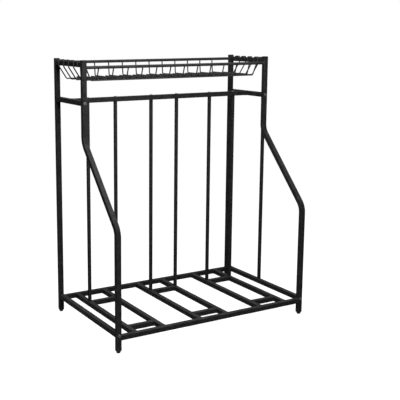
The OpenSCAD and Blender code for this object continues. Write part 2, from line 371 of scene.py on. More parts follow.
def weld_loop(centre: Point, axis: np.ndarray, half: float, corner: float, size: float = BEAD_R,
              ripple: float = 0.0016) -> np.ndarray:
    """Rings of a weld bead round the butt end of a square tube.

    The path is the tube's outline in the joint's plane. At the length s along it the bead's radius is
    size * (0.86 + 0.14 * |sin(pi * s / ripple)|).

    Args:
        centre: Middle of the joint.
        axis: Direction of the tube.
        half: Half the side of the tube.
        corner: Corner radius of the tube.
        size: Largest radius of the bead.
        ripple: Pitch of the bead's ripples.

    Returns:
        Grid of rings that closes on itself.
    """
    outline = rounded_square_line(half, corner)
    first, second = plane_axes(axis)
    path = centre + outline[:, :1] * first + outline[:, 1:] * second
    length = np.concatenate([[0.0], np.cumsum(np.linalg.norm(np.diff(path, axis=0), axis=1))])
    radius = size * (0.86 + 0.14 * np.abs(np.sin(np.pi * length / ripple)))
    return sweep(path, axis, radius, BEAD_COLUMNS, loop=True)


def round_weld(centre: Point, axis: np.ndarray, radius: float, ripples: int = 16,
               rows: int = 64) -> np.ndarray:
    """Rings of a weld bead round the end of a round rod.

    The path is a circle of the rod's radius. At the angle a round it the bead's radius is
    BEAD_R * (0.88 + 0.12 * |sin(a * ripples / 2)|).

    Args:
        centre: Middle of the joint.
        axis: Direction of the rod.
        radius: Radius of the rod.
        ripples: Number of ripples round the rod.
        rows: Number of rings.

    Returns:
        Grid of rings that closes on itself.
    """
    angle = ring(rows)
    first, second = plane_axes(axis)
    path = centre + radius * (np.cos(angle)[:, None] * first + np.sin(angle)[:, None] * second)
    bead = BEAD_R * (0.88 + 0.12 * np.abs(np.sin(angle * ripples / 2)))
    return sweep(path, axis, bead, BEAD_COLUMNS, loop=True)


def blob(centre: Point, half_sizes: np.ndarray, rows: int = 7, columns: int = 10,
         pole_gap: float = 0.3) -> np.ndarray:
    """Rings of a flattened globe, used for the spots where wires melt into each other.

    Point (j, i) is centre + (a * sin(p) * cos(q), b * sin(p) * sin(q), -c * cos(p)), with p from pole_gap to
    pi - pole_gap down the rows and q round the columns.

    Args:
        centre: Middle of the globe.
        half_sizes: Half the size along X, Y and Z.
        rows: Rings from bottom to top.
        columns: Points round each ring.
        pole_gap: Angle from a pole to the ring next to it.

    Returns:
        Grid of rings.
    """
    polar = np.linspace(pole_gap, math.pi - pole_gap, rows)[:, None]
    around = ring(columns)[None, :]
    unit = np.stack([np.sin(polar) * np.cos(around), np.sin(polar) * np.sin(around),
                     -np.cos(polar) * np.ones_like(around)], axis=-1)
    return centre + unit * half_sizes


def soft_square(rows: np.ndarray, columns: int = 72) -> np.ndarray:
    """Rings whose outline goes from a circle to a square with round corners.

    A ring's radius at the angle a is h / (|cos a|^p + |sin a|^p)^(1/p): p = 2 is a circle and p = 9 is close
    to a tube's outline.

    Args:
        rows: One (half size h, exponent p, height) per ring, from the bottom up.
        columns: Points round each ring.

    Returns:
        Grid of rings round the Z axis.
    """
    angle = ring(columns)[None, :]
    half, power, height = (rows[:, k:k + 1] for k in range(3))
    radius = half / (np.abs(np.cos(angle)) ** power + np.abs(np.sin(angle)) ** power) ** (1 / power)
    return np.stack([radius * np.cos(angle), radius * np.sin(angle), height * np.ones_like(angle)], axis=-1)


# Finishes


class Nodes:
    """Small helper that places and links shader nodes in one tree."""

    def __init__(self, tree: bpy.types.NodeTree) -> None:
        """Keeps the tree.

        Args:
            tree: Node tree to build in.
        """
        self.tree = tree

    def add(self, kind: str, values: dict[str, object] | None = None, **settings: object) -> bpy.types.Node:
        """Adds a node.

        Args:
            kind: Blender's node type.
            values: Input name, or its number, to a link source or a constant.
            **settings: Properties of the node.

        Returns:
            The new node.
        """
        node = self.tree.nodes.new(kind)
        for name, value in settings.items():
            setattr(node, name, value)
        for name, value in (values or {}).items():
            socket = node.inputs[int(name)] if name.isdigit() else node.inputs[name]
            if isinstance(value, bpy.types.NodeSocket):
                self.tree.links.new(value, socket)
            else:
                socket.default_value = value
        return node

    def maths(self, operation: str, *terms: object, clamp: bool = False) -> bpy.types.NodeSocket:
        """Adds a Math node.

        Args:
            operation: Its operation.
            *terms: Link sources or numbers.
            clamp: Whether the result is kept between 0 and 1.

        Returns:
            Its output.
        """
        values = {str(i): term for i, term in enumerate(terms)}
        return self.add("ShaderNodeMath", values, operation=operation, use_clamp=clamp).outputs[0]

    def fade(self, value: object, low: float, high: float, to_low: float = 0.0,
             to_high: float = 1.0) -> bpy.types.NodeSocket:
        """Smooth step of a value from one range to another.

        Args:
            value: Link source.
            low: Value that gives to_low.
            high: Value that gives to_high.
            to_low: Result at low.
            to_high: Result at high.

        Returns:
            The result's socket.
        """
        values = {"Value": value, "From Min": low, "From Max": high, "To Min": to_low, "To Max": to_high}
        return self.add("ShaderNodeMapRange", values, interpolation_type="SMOOTHSTEP").outputs["Result"]

    def noise(self, vector: object, scale: object, detail: float = 2.0,
              rough: float = 0.5) -> bpy.types.NodeSocket:
        """Adds a noise texture.

        Args:
            vector: Coordinates.
            scale: Cells per metre.
            detail: Number of finer layers.
            rough: Weight of the finer layers.

        Returns:
            Its factor.
        """
        values = {"Vector": vector, "Scale": scale, "Detail": detail, "Roughness": rough}
        return self.add("ShaderNodeTexNoise", values).outputs[0]

    def mix(self, share: object, low: object, high: object) -> bpy.types.NodeSocket:
        """Mixes two colours.

        Args:
            share: Share of the second colour.
            low: First colour or its source.
            high: Second colour or its source.

        Returns:
            The mixed colour.
        """
        low, high = ((*c, 1.0) if isinstance(c, tuple) else c for c in (low, high))
        return self.add("ShaderNodeMix", {"0": share, "6": low, "7": high}, data_type="RGBA").outputs[2]

    def effect(self, group: bpy.types.NodeTree, **values: object) -> bpy.types.NodeOutputs:
        """Places a shared group.

        Args:
            group: The group.
            **values: Its inputs.

        Returns:
            Its outputs.
        """
        return self.add("ShaderNodeGroup", values, node_tree=group).outputs


def cleared(owner: bpy.types.Material | bpy.types.World) -> Nodes:
    """Turns on the shader nodes of a material or world and takes out those it starts with.

    Args:
        owner: The material or world.

    Returns:
        Helper for its tree.
    """
    owner.use_nodes = True
    owner.node_tree.nodes.clear()
    return Nodes(owner.node_tree)


def effect_group(name: str, inputs: dict[str, float],
                 *outputs: str) -> tuple[bpy.types.NodeTree, Nodes, bpy.types.NodeOutputs]:
    """Makes a shader group that reads a vector and some numbers.

    Args:
        name: Name of the group.
        inputs: Name of each number to its starting value.
        *outputs: Names of the float outputs.

    Returns:
        The group, a helper for it, and the sockets that give its inputs.
    """
    group = bpy.data.node_groups.new(name, "ShaderNodeTree")
    group.interface.new_socket("Vector", in_out="INPUT", socket_type="NodeSocketVector")
    for label, value in inputs.items():
        socket = group.interface.new_socket(label, in_out="INPUT", socket_type="NodeSocketFloat")
        socket.default_value = value
    for label in outputs:
        group.interface.new_socket(label, in_out="OUTPUT", socket_type="NodeSocketFloat")
    nodes = Nodes(group)
    return group, nodes, nodes.add("NodeGroupInput").outputs


def coat_grain_group() -> bpy.types.NodeTree:
    """Surface of baked powder: rounded pimples, finer grit between them, and slow waves in the gloss.

    Returns:
        The group, with Height for a bump, Mottle for colour and Gloss for roughness.
    """
    group, nodes, given = effect_group(
        "coat_grain", {"Pimples": 900.0, "Grit": 0.3}, "Height", "Mottle", "Gloss")
    vector, pimples = given["Vector"], given["Pimples"]
    cells = nodes.add("ShaderNodeTexVoronoi", {"Vector": vector, "Scale": pimples}, feature="SMOOTH_F1")
    dome = nodes.fade(cells.outputs["Distance"], 0.0, 0.75, 1.0, 0.0)
    finer = nodes.noise(vector, nodes.maths("MULTIPLY", pimples, 3.1), detail=3.0, rough=0.6)
    height = nodes.maths("ADD", dome, nodes.maths("MULTIPLY", finer, given["Grit"]))
    mottle = nodes.noise(vector, scale=55.0, detail=4.0, rough=0.62)
    slow = nodes.maths("MULTIPLY", nodes.noise(vector, scale=14.0, detail=3.0), 0.6)
    quick = nodes.maths("MULTIPLY", nodes.noise(vector, scale=380.0), 0.4)
    gloss = nodes.maths("ADD", slow, quick)
    nodes.add("NodeGroupOutput", {"Height": height, "Mottle": mottle, "Gloss": gloss})
    return group


def corner_wear_group() -> bpy.types.NodeTree:
    """Mask of rubbed places on the rounded corners of a tube.

    On a tube across the rack the corners are where |ny| * |nz| is large, on the others where |nx| lies
    between 0 and 1. A patchy noise breaks the line up.

    Returns:
        The group, with the output Mask.
    """
    group, nodes, given = effect_group("corner_wear", {"Across": 0.0, "Amount": 0.5}, "Mask")
    normal = nodes.add("ShaderNodeTexCoord").outputs["Normal"]
    parts = nodes.add("ShaderNodeSeparateXYZ", {"Vector": normal})
    nx, ny, nz = (nodes.maths("ABSOLUTE", parts.outputs[k]) for k in range(3))
    other = nodes.maths("MULTIPLY", nx, nodes.maths("SUBTRACT", 1.0, nx))
    across = nodes.maths("MULTIPLY", nodes.maths("MULTIPLY", ny, nz), 0.5)
    choice = nodes.add("ShaderNodeMix", {"0": given["Across"], "2": other, "3": across}, data_type="FLOAT")
    corner = nodes.fade(choice.outputs[0], 0.13, 0.22)
    rubbed = nodes.fade(nodes.noise(given["Vector"], scale=38.0, detail=5.0, rough=0.7), 0.5, 0.68)
    mask = nodes.maths("MULTIPLY", nodes.maths("MULTIPLY", corner, rubbed), given["Amount"], clamp=True)
    nodes.add("NodeGroupOutput", {"Mask": mask})
    return group


def dust_group() -> bpy.types.NodeTree:
    """Mask of fine dust on faces that look up, thicker in soft patches; since it lightens those faces
    broadly, it is also painted light from above.

    Returns:
        The group, with the output Mask.
    """
    group, nodes, given = effect_group("dust", {"Amount": 0.5}, "Mask")
    vector = given["Vector"]
    normal = nodes.add("ShaderNodeTexCoord").outputs["Normal"]
    # Faces that look up take the mask: partly dust, partly painted light from above.
    level = nodes.fade(nodes.add("ShaderNodeSeparateXYZ", {"Vector": normal}).outputs["Z"], 0.35, 0.95)
    patches = nodes.fade(nodes.noise(vector, scale=21.0, detail=4.0, rough=0.6), 0.3, 0.75, 0.35, 1.0)
    specks = nodes.fade(nodes.noise(vector, scale=1500.0, detail=1.0), 0.42, 0.62, 0.4, 1.0)
    cover = nodes.maths("MULTIPLY", nodes.maths("MULTIPLY", patches, specks), level)
    nodes.add("NodeGroupOutput", {"Mask": nodes.maths("MULTIPLY", cover, given["Amount"], clamp=True)})
    return group


def scuff_group() -> bpy.types.NodeTree:
    """Mask of short hair-fine scratches in two directions.

    Returns:
        The group, with the output Mask.
    """
    group, nodes, given = effect_group("scuffs", {"Amount": 0.5}, "Mask")
    masks = []
    for turn, stretch in (((0.3, 0.2, 0.5), (25.0, 900.0, 900.0)), ((1.1, 0.6, 2.0), (700.0, 20.0, 700.0))):
        values = {"Vector": given["Vector"], "Rotation": turn, "Scale": stretch}
        placed = nodes.add("ShaderNodeMapping", values).outputs[0]
        masks.append(nodes.fade(nodes.noise(placed, scale=1.0), 0.69, 0.75))
    areas = nodes.fade(nodes.noise(given["Vector"], scale=12.0, detail=3.0), 0.5, 0.65)
    both = nodes.maths("MULTIPLY", nodes.maths("MAXIMUM", *masks), areas)
    nodes.add("NodeGroupOutput", {"Mask": nodes.maths("MULTIPLY", both, given["Amount"], clamp=True)})
    return group


@dataclass(frozen=True)
class Effects:
    """Shader groups that the finishes share.

    Attributes:
        grain: Surface of baked powder.
        wear: Rubbed corners.
        dust: Dust on faces that look up, which also paints light from above on them.
        scuffs: Short scratches.
    """

    grain: bpy.types.NodeTree
    wear: bpy.types.NodeTree
    dust: bpy.types.NodeTree
    scuffs: bpy.types.NodeTree

    @classmethod
    def make(cls) -> "Effects":
        """Builds each group once."""
        return cls(coat_grain_group(), corner_wear_group(), dust_group(), scuff_group())


@dataclass(frozen=True)
class Finish:
    """One black finish.

    Attributes:
        name: Name of the material.
        dark: Colour in the hollows of the grain.
        light: Colour on its high spots.
        gloss: Specular level of the surface.
        worn: Colour of rubbed places and scratches.
        dusty: Colour of dust, which also stands for painted light from above on faces that look up.
        rough: Roughness from the glossiest to the dullest places.
        pimples: Grains per metre.
        grit: Share of the finer layer in the relief.
        relief: Depth of the relief in metres.
        wear: Strength of the corner wear.
        dust: Strength of the dust and of the painted light from above.
        scuffs: Strength of the scratches.
        polish: Roughness that corner wear takes away.
        dulling: Roughness that dust adds.
        levelling: Height that rubbing takes off the relief.
        bump: Strength of the relief.
    """

    name: str
    dark: Colour
    light: Colour
    gloss: float
    worn: Colour = (0.03, 0.03, 0.0315)
    dusty: Colour = (0.045, 0.044, 0.042)
    rough: tuple[float, float] = (0.42, 0.58)
    pimples: float = 1000.0
    grit: float = 0.3
    relief: float = 0.00008
    wear: float = 0.0
    dust: float = 0.4
    scuffs: float = 0.4
    polish: float = 0.12
    dulling: float = 0.3
    levelling: float = 0.5
    bump: float = 0.8

    def build(self, effects: Effects, run: Run = Run.OTHER) -> bpy.types.Material:
        """Makes the material.

        The colour goes from dark to light with the mottle, then to the worn colour where corners are rubbed
        or scratched, then to the lighter dust colour, which on faces that look up is partly dust and partly
        painted light from above.

        Args:
            effects: Shared groups.
            run: Direction of the tubes that wear it.

        Returns:
            The material.
        """
        material = bpy.data.materials.new(f"{self.name}_{run.value}")
        nodes = cleared(material)
        place = nodes.add("ShaderNodeTexCoord").outputs["Object"]
        across = 1.0 if run is Run.ACROSS else 0.0
        grain = nodes.effect(effects.grain, Vector=place, Pimples=self.pimples, Grit=self.grit)
        wear = nodes.effect(effects.wear, Vector=place, Across=across, Amount=self.wear)["Mask"]
        dust = nodes.effect(effects.dust, Vector=place, Amount=self.dust)["Mask"]
        scuffs = nodes.effect(effects.scuffs, Vector=place, Amount=self.scuffs)["Mask"]
        rubbed = nodes.maths("MAXIMUM", wear, scuffs)
        colour = nodes.mix(nodes.fade(grain["Mottle"], *NOISE_RANGE), self.dark, self.light)
        colour = nodes.mix(rubbed, colour, self.worn)
        # Painted light from above: faces that look up take the lighter dust colour.
        colour = nodes.mix(dust, colour, self.dusty)
        rough = nodes.fade(grain["Gloss"], *NOISE_RANGE, *self.rough)
        rough = nodes.maths("SUBTRACT", rough, nodes.maths("MULTIPLY", wear, self.polish))
        rough = nodes.maths("ADD", rough, nodes.maths("MULTIPLY", dust, self.dulling), clamp=True)
        height = nodes.maths("SUBTRACT", grain["Height"], nodes.maths("MULTIPLY", rubbed, self.levelling))
        bump = nodes.add("ShaderNodeBump", {"Height": height, "Strength": self.bump, "Distance": self.relief})
        shader = nodes.add("ShaderNodeBsdfPrincipled", {
            "Base Color": colour, "Roughness": rough, "Specular IOR Level": self.gloss,
            "Normal": bump.outputs[0]})
        nodes.add("ShaderNodeOutputMaterial", {"Surface": shader.outputs[0]})
        return material


COAT = Finish("powder_coat", (0.0045, 0.0045, 0.0049), (0.0085, 0.0085, 0.009), gloss=0.008, wear=0.5)
BASKET_COAT = Finish(
    "basket_coat", (0.006, 0.006, 0.0065), (0.0105, 0.0105, 0.011), gloss=0.03, rough=(0.36, 0.52),
    pimples=1300.0, relief=0.00005, dust=0.35, scuffs=0.6)
WELD_COAT = Finish(
    "weld_coat", BASKET_COAT.dark, BASKET_COAT.light, gloss=0.03, rough=(0.4, 0.6), pimples=700.0,
    relief=0.00012, dust=0.3, scuffs=0.2)
PLASTIC = Finish(
    "moulded_plastic", (0.005, 0.005, 0.0054), (0.009, 0.009, 0.0093), gloss=0.06,
    worn=(0.022, 0.022, 0.022), rough=(0.5, 0.68), pimples=2400.0, grit=0.8, relief=0.00004, dust=0.5,
    scuffs=0.5)
BLACK_OXIDE = Finish(
    "black_oxide", (0.012, 0.012, 0.013), (0.022, 0.022, 0.024), gloss=0.3, worn=(0.09, 0.088, 0.085),
    rough=(0.3, 0.42), pimples=3500.0, grit=0.9, relief=0.00002, dust=0.3, scuffs=0.7)


@dataclass(frozen=True)
class Palette:
    """Materials of the rack.

    Attributes:
        coat: Coat of the tubes that run along Y or Z.
        coat_across: Coat of the tubes that run along X.
        basket: Coat of the basket's rods and wires.
        weld: Coat over the weld beads.
        plastic: Plastic of the feet and caps.
        bolt: Finish of the bolts.
    """

    coat: bpy.types.Material
    coat_across: bpy.types.Material
    basket: bpy.types.Material
    weld: bpy.types.Material
    plastic: bpy.types.Material
    bolt: bpy.types.Material

    @classmethod
    def make(cls) -> "Palette":
        """Builds each material once.

        Returns:
            The palette.
        """
        effects = Effects.make()
        return cls(COAT.build(effects), COAT.build(effects, Run.ACROSS), BASKET_COAT.build(effects),
                   WELD_COAT.build(effects), PLASTIC.build(effects), BLACK_OXIDE.build(effects))


def dress(material: bpy.types.Material, *nodes: str) -> None:
    """Gives CAD nodes a material.

    Args:
        material: The finish.
        *nodes: Names of the nodes.
    """
    for name in nodes:
        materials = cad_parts[name].data.materials
        materials.clear()
        materials.append(material)
        LOG.info("%s wears %s", name, material.name)


# Sub-assemblies


@dataclass
class SideFrames:
    """The two side frames: posts, top side tubes, side bars and base side rails.

    Attributes:
        sizes: Driving sizes.
        bead: Size of the weld beads at the top side tubes.
    """

    sizes: Sizes = SIZES
    bead: float = 0.001

    def dress(self, palette: Palette) -> None:
        """Finishes the tubes of both sides."""
        parts = ("rear_post", "front_post", "top_side_tube", "side_bar", "base_side_rail")
        dress(palette.coat, *(f"{part}_{side}" for part in parts for side in ("left", "right")), "right_stay")

    def build_welds(self, palette: Palette) -> None:
        """Lays a bead round both ends of each top side tube and round the stay's foot.

        Args:
            palette: Materials.
        """
        s, shells = self.sizes, Shells()
        for side in SIDES:
            for y in (s.upper_y + s.half, s.leg_y - s.half):
                end = (side * s.post_x, y, s.top_tube_z)
                shells.add_grid(weld_loop(end, ALONG_Y, s.half, s.tube_corner, self.bead), loop=True)
        stay = (s.post_x, s.upper_y + (s.tube - s.bar) / 2, s.side_rail_z + s.half)
        shells.add_grid(weld_loop(stay, UP, s.bar / 2, s.bar_corner, self.bead), loop=True)
        shells.build("side_frame_welds", palette.weld, Slot.FRAME)


@dataclass
class CrossFrame:
    """Crossbar, front and rear floor rails.

    Attributes:
        sizes: Driving sizes.
    """

    sizes: Sizes = SIZES

    def dress(self, palette: Palette) -> None:
        """Finishes the three tubes that run across the rack."""
        dress(palette.coat_across, "crossbar", "base_front_rail", "base_rear_rail")

    def build_welds(self, palette: Palette) -> None:
        """Lays a bead round both ends of each cross tube.

        Args:
            palette: Materials.
        """
        s, shells = self.sizes, Shells()
        for side in SIDES:
            x = side * (s.post_x - s.half)
            for y, z in ((s.bar_y, s.side_bar_z), (-s.leg_y, s.floor_rail_z), (s.leg_y, s.floor_rail_z)):
                shells.add_grid(weld_loop((x, y, z), ALONG_X, s.half, s.tube_corner), loop=True)
        shells.build("cross_frame_welds", palette.weld, Slot.FRAME)


@dataclass
class WheelSlots:
    """Wheel rails, wheel bars and spreaders of the three slots.

    Attributes:
        sizes: Driving sizes.
    """

    sizes: Sizes = SIZES

    def dress(self, palette: Palette) -> None:
        """Finishes the rails, bars and spreaders."""
        dress(palette.coat, *(f"wheel_{kind}_{i}" for kind in ("rail", "bar") for i in range(1, 7)))
        dress(palette.coat_across, *(f"{end}_spreader_{i}" for end in ("front", "rear") for i in range(1, 4)))

    def build_welds(self, palette: Palette) -> None:
        """Lays a bead round each rail end, spreader end and bar foot.

        Args:
            palette: Materials.
        """
        s, shells = self.sizes, Shells()
        for x in s.lines:
            for side in SIDES:
                end = (x, side * (s.leg_y - s.half), s.floor_rail_z)
                shells.add_grid(weld_loop(end, ALONG_Y, s.half, s.tube_corner), loop=True)
            foot = (x, s.bar_y, s.floor_rail_z + s.half)
            shells.add_grid(weld_loop(foot, UP, s.bar / 2, s.bar_corner), loop=True)
        for slot in SLOTS:
            for side in SIDES:
                x = slot * s.slot_pitch + side * (s.slot_w / 2 - s.half)
                for y in (s.front_spreader_y, s.bar_y):
                    end = (x, y, s.floor_rail_z)
                    shells.add_grid(weld_loop(end, ALONG_X, s.half, s.tube_corner), loop=True)
        shells.build("wheel_slot_welds", palette.weld, Slot.FRAME)


@dataclass
class Basket:
    """Wire basket: two rods, two sets of cross wires and the long wires.

    Attributes:
        sizes: Driving sizes.
        wire: Diameter of the wires.
        floor_z: Centre height of the cross wires on the floor.
        front_lean: Inward lean of the front wall.
        rear_lean: Inward lean of the rear wall.
        end_lean: Inward lean of the end walls.
        front_end_lean: Inward lean of the foremost long wire at the ends.
        front_count: Number of wires in the front wall; the rear wall has one fewer.
        left_in: From the middle of the left posts to the first wire of the front wall.
        right_in: From the middle of the right posts to the last wire of the front wall.
        long_rear_in: From the rear wall's foot to the rearmost long wire.
        long_front_in: From the front wall's foot to the foremost long wire.
        long_next_in: From the foremost long wire back to the next one.
        long_count: Number of long wires.
        wire_end: Length of a wire end that lies against a rod.
        wire_over: Share of that end above the middle of the rod.
        tail: Length that a cross wire runs on past its last long wire.
        gap: Gap between a wire and what it is welded to.
        hook_gap: Gap between a hook and its tube.
        bend: Bend radius at the floor.
        columns: Points round a wire.
        spacing: Largest distance between two rings of a wire.
        spot: Half the sizes of the weld where two wires cross, in wire diameters.
        seam: Half the sizes of the weld at a rod, in wire diameters and, for the height, in wire ends.
        seam_drop: Drop of that weld below the middle of the rod, in wire ends.
    """

    sizes: Sizes = SIZES
    wire: float = 0.005
    floor_z: float = 0.973
    front_lean: float = 0.013
    rear_lean: float = 0.005
    end_lean: float = 0.032
    front_end_lean: float = 0.0305
    front_count: int = 12
    left_in: float = 0.066
    right_in: float = 0.076
    long_rear_in: float = 0.035
    long_front_in: float = 0.006
    long_next_in: float = 0.033
    long_count: int = 5
    wire_end: float = 0.010
    wire_over: float = 0.4
    tail: float = 0.004
    gap: float = 0.0001
    hook_gap: float = 0.0003
    bend: float = 0.007
    columns: int = 14
    spacing: float = 0.03
    spot: Point = (0.36, 0.36, 0.32)
    seam: Point = (0.42, 0.28, 0.42)
    seam_drop: float = 0.08

    def __post_init__(self) -> None:
        """Works out the places that follow from the sizes."""
        s = self.sizes
        self.seat = (s.rod + self.wire) / 2 + self.gap
        self.front_wall_y = s.upper_y + self.seat
        self.rear_wall_y = s.leg_y - self.seat
        self.front_foot_y = self.front_wall_y + self.front_lean
        self.rear_foot_y = self.rear_wall_y - self.rear_lean
        front, rear = self.front_foot_y + self.long_front_in, self.rear_foot_y - self.long_rear_in
        self.long_ys = [front, *np.linspace(front + self.long_next_in, rear, self.long_count - 1)]
        self.long_z = self.floor_z - self.wire - self.gap
        self.front_xs = np.linspace(self.left_in - s.post_x, s.post_x - self.right_in, self.front_count)
        self.rear_xs = (self.front_xs[1:] + self.front_xs[:-1]) / 2

    def dress(self, palette: Palette) -> None:
        """Finishes the two rods."""
        dress(palette.basket, "basket_front_rod", "basket_rear_rod")

    def build_cross_wires(self, palette: Palette, name: str, xs: np.ndarray, wall_y: float, rod_z: float,
                          foot_y: float, tail_y: float) -> None:
        """Makes the J-shaped wires of one wall, from the rod down to the floor and on to the tail.

        Args:
            palette: Materials.
            name: CAD node that the wires stand for.
            xs: Places of the wires along X.
            wall_y: Y of the wires at the rod.
            rod_z: Height of the rod.
            foot_y: Y of the wall's foot.
            tail_y: Y of the wires' tails.
        """
        top = rod_z + self.wire_end * self.wire_over
        corners = np.array([
            [wall_y, top], [wall_y, top - self.wire_end], [foot_y, self.floor_z], [tail_y, self.floor_z]])
        flat = spaced_line(bent_line(corners, [0, self.wire, self.bend, 0]), self.spacing)
        shells = Shells()
        for x in xs:
            path = np.column_stack([np.full(len(flat), x), flat])
            shells.add_grid(cut_wire(path, ALONG_X, self.wire / 2, self.columns))
        shells.build(f"{name}_smooth", palette.basket, Slot.BASKET, name)

    def build_long_wires(self, palette: Palette) -> None:
        """Makes the long wires, each bent over both top side tubes.

        The foremost one goes over the tubes from the inside, the others come up under them and go over from
        the outside.

        Args:
            palette: Materials.
        """
        s = self.sizes
        away = s.half + self.hook_gap + self.wire / 2
        outer, inner = s.post_x + away, s.post_x - away
        over, under = s.top_tube_z + away, s.top_tube_z - away
        foot, tip = outer - self.end_lean, s.top_tube_z - s.half + self.wire / 2
        hook = s.tube_corner + self.hook_gap + self.wire / 2
        inner_foot = inner - self.front_end_lean
        front = [[-outer, tip], [-outer, over], [-inner, over], [-inner_foot, self.long_z]]
        other = [[-inner, tip], [-inner, over], [-outer, over], [-outer, under], [-foot, self.long_z]]
        flats = []
        for left in (np.array(front), np.array(other)):
            bends = [0, *[hook] * (len(left) - 2), self.bend]
            corners = np.vstack([left, left[::-1] * [-1, 1]])
            flats.append(spaced_line(bent_line(corners, bends + bends[::-1]), self.spacing))
        shells = Shells()
        for k, y in enumerate(self.long_ys):
            flat = flats[min(k, 1)]
            path = np.column_stack([flat[:, 0], np.full(len(flat), y), flat[:, 1]])
            shells.add_grid(cut_wire(path, -ALONG_Y, self.wire / 2, self.columns))
        shells.build("basket_long_wires_smooth", palette.basket, Slot.BASKET, "basket_long_wires")

    def build_welds(self, palette: Palette) -> None:
        """Melts the wires into each other where they cross, and into the rods at their ends.

        Args:
            palette: Materials.
        """
        s, shells = self.sizes, Shells()
        spot = np.array(self.spot) * self.wire
        seam = np.array(self.seam) * (self.wire, self.wire, self.wire_end)
        between = self.floor_z - (self.wire + self.gap) / 2
        walls = ((self.front_xs, self.front_wall_y, s.front_rod_z, -1.0),
                 (self.rear_xs, self.rear_wall_y, s.rear_rod_z, 1.0))
        for xs, wall_y, rod_z, side in walls:
            for x in xs:
                for y in self.long_ys:
                    shells.add_grid(blob((x, y, between), spot))
                at_rod = (x, wall_y + side * self.wire / 2, rod_z - self.wire_end * self.seam_drop)
                shells.add_grid(blob(at_rod, seam))
        shells.build("basket_spot_welds", palette.weld, Slot.BASKET)
        rings = Shells()
        for side in SIDES:
            x = side * (s.post_x - s.half)
            for y, z in ((s.upper_y, s.front_rod_z), (s.leg_y, s.rear_rod_z)):
                rings.add_grid(round_weld((x, y, z), ALONG_X, s.rod / 2), loop=True)
        rings.build("basket_rod_welds", palette.weld, Slot.BASKET)

    def build(self, palette: Palette) -> None:
        """Makes and dresses the whole basket.

        Args:
            palette: Materials.
        """
        s = self.sizes
        self.dress(palette)
        self.build_cross_wires(palette, "basket_front_wires", self.front_xs, self.front_wall_y, s.front_rod_z,
                               self.front_foot_y, self.long_ys[-1] + self.tail)
        self.build_cross_wires(palette, "basket_rear_wires", self.rear_xs, self.rear_wall_y, s.rear_rod_z,
                               self.rear_foot_y, self.long_ys[0] - self.tail)
        self.build_long_wires(palette)
        self.build_welds(palette)


@dataclass
class Plastics:
    """Feet under the legs and caps on the posts.

    Attributes:
        sizes: Driving sizes.
        square: Exponent of an outline close to the tube's.
        foot_flat: Radius of the flat that a foot stands on.
        foot_cone: Half size, exponent and height of the rings from a foot's flat to its collar.
        stem_in: From a tube's face in to the stem of a foot or cap.
        stem: Length of the stem.
    """

    sizes: Sizes = SIZES
    square: float = 9.0
    foot_flat: float = 0.0056
    foot_cone: tuple[Point, ...] = (
        (0.0071, 2.2, 0.0025), (0.0079, 2.6, 0.005), (0.0087, 3.6, 0.0075), (0.0092, 5.5, 0.0089))
    stem_in: float = 0.0016
    stem: float = 0.004

    def foot_rows(self) -> np.ndarray:
        """Rings of a foot from the floor up: flat with a rounded edge, cone, square collar and stem.

        Returns:
            Half size, exponent and height of each ring.
        """
        half, top, flat, square = self.sizes.half, self.sizes.foot_h, self.foot_flat, self.square
        edge = [(flat * 0.5, 2.0, 0.0), (flat * 0.93, 2.0, 0.0), (flat + 0.0004, 2.0, 0.0003),
                (flat + 0.0009, 2.0, 0.0009)]
        collar = [(half - 0.0001, square, 0.0096), (half, square, 0.0101), (half, square, top - 0.0003),
                  (half - 0.0003, square, top)]
        stem = [(half - self.stem_in, square, top), (half - self.stem_in, square, top + self.stem)]
        return np.array([*edge, *self.foot_cone, *collar, *stem])

    def cap_rows(self) -> np.ndarray:
        """Rings of a cap from the stem up: collar on the tube, rounded rim and a slightly raised middle.

        Returns:
            Half size, exponent and height of each ring.
        """
        half, top, square = self.sizes.half, self.sizes.height, self.square
        seat = top - self.sizes.cap_t
        stem = [(half - self.stem_in, square, seat - self.stem), (half - self.stem_in, square, seat)]
        collar = [(half - 0.0002, square, seat), (half, square, seat + 0.0002), (half, square, top - 0.0009)]
        rim = [(half - 0.0002, square, top - 0.0005), (half - 0.0006, square, top - 0.00022),
               (half - 0.0012, square, top - 0.00012)]
        middle = [(half - 0.004, 6.0, top - 0.00004), (half - 0.007, 3.0, top)]
        return np.array([*stem, *collar, *rim, *middle])

    def build(self, palette: Palette) -> None:
        """Makes the four feet and the four caps.

        Args:
            palette: Materials.
        """
        s = self.sizes
        foot, cap = soft_square(self.foot_rows()), soft_square(self.cap_rows())
        for end, foot_y, cap_y in (("front", -s.leg_y, s.upper_y), ("rear", s.leg_y, s.leg_y)):
            for label, side in zip(("left", "right"), SIDES):
                for name, grid, y in (("foot", foot, foot_y), ("cap", cap, cap_y)):
                    shells = Shells()
                    shells.add_grid(grid + (side * s.post_x, y, 0.0))
                    node = f"{name}_{end}_{label}"
                    shells.build(f"{node}_moulded", palette.plastic, Slot.PLASTIC, node)


